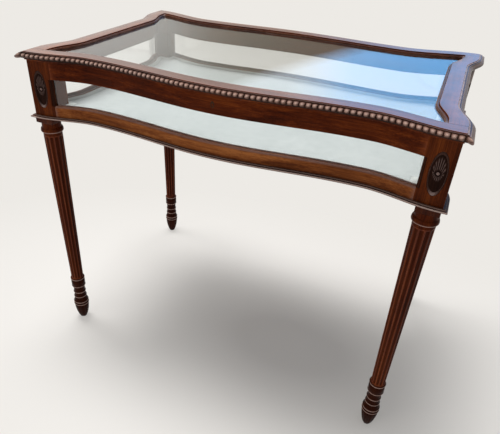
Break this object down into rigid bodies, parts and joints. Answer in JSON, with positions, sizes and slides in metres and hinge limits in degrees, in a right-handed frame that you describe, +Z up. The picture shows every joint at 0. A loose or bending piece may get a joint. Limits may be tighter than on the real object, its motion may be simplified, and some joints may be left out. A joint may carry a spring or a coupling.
{
  "type": "collectors display table",
  "caption": "Serpentine glazed display table on turned fluted legs, with a hinged glass lid, a lock and a padded lining.",
  "frame": {"origin": "on the floor, midway between the four legs, under the middle of the top", "axes": "+Z up; -Y is the front with the keyhole and the bead string; +X is to the right when facing the front"},
  "size_m": [0.916, 0.5857, 0.76],
  "materials": {
    "case_wood": "polished mahogany with a fine ribbon grain",
    "lid_wood": "polished mahogany, glossier and greyed by reflected light",
    "leg_wood": "dark polished mahogany, straight grained",
    "trim_wood": "polished mahogany mouldings, worn paler on the edges",
    "carved_wood": "carved mahogany, dark in the hollows and rubbed on the high places",
    "underside_wood": "plain unpolished board",
    "glass": "clear polished plate",
    "lining_cloth": "pale matt cloth over padding",
    "brass": "aged brass"
  },
  "bodies": {
    "case": {"leg_front_left": "leg_wood", "corner_post_front_left": "case_wood", "leg_front_right": "leg_wood", "corner_post_front_right": "case_wood", "leg_rear_left": "leg_wood", "corner_post_rear_left": "case_wood", "leg_rear_right": "leg_wood", "corner_post_rear_right": "case_wood", "carved_oval_left": "carved_wood", "carved_oval_right": "carved_wood", "upper_rail_front": "case_wood", "lower_rail_front": "case_wood", "window_front": "glass", "window_bead_front": "trim_wood", "base_moulding_front": "trim_wood", "upper_rail_rear": "case_wood", "lower_rail_rear": "case_wood", "window_rear": "glass", "window_bead_rear": "trim_wood", "base_moulding_rear": "trim_wood", "upper_rail_left": "case_wood", "lower_rail_left": "case_wood", "window_left": "glass", "window_bead_left": "trim_wood", "base_moulding_left": "trim_wood", "upper_rail_right": "case_wood", "lower_rail_right": "case_wood", "window_right": "glass", "window_bead_right": "trim_wood", "base_moulding_right": "trim_wood", "floor_board": "underside_wood", "lining_pad": "lining_cloth", "hinge_case_leaf_left": "brass", "hinge_pin_left": "brass", "hinge_case_leaf_right": "brass", "hinge_pin_right": "brass", "lock_case": "brass", "keyhole_escutcheon": "brass"},
    "lid": {"lid_rail_front": "lid_wood", "lid_rail_rear": "lid_wood", "lid_rail_left": "lid_wood", "lid_rail_right": "lid_wood", "lid_glass": "glass", "lid_fillet_front": "trim_wood", "lid_under_bead_front": "trim_wood", "lid_fillet_rear": "trim_wood", "lid_under_bead_rear": "trim_wood", "lid_fillet_left": "trim_wood", "lid_under_bead_left": "trim_wood", "lid_fillet_right": "trim_wood", "lid_under_bead_right": "trim_wood", "lid_moulding_rear": "trim_wood", "lid_moulding_left": "trim_wood", "lid_moulding_right": "trim_wood", "lid_beading_front": "carved_wood", "hinge_lid_leaf_left": "brass", "hinge_lid_leaf_right": "brass", "lock_link_plate": "brass"},
    "lock_bolt": {"lock_bolt": "brass"}
  },
  "joints": [
    {"name": "lid_hinge", "type": "hinge", "parent": "case", "child": "lid", "pos_m": [0, 0.2795, 0.7385], "axis": [-1, 0, 0], "range_deg": [0, 100]},
    {"name": "lock_bolt_slide", "type": "slide", "parent": "case", "child": "lock_bolt", "axis": [1, 0, 0], "range_m": [0, 0.003]}
  ]
}
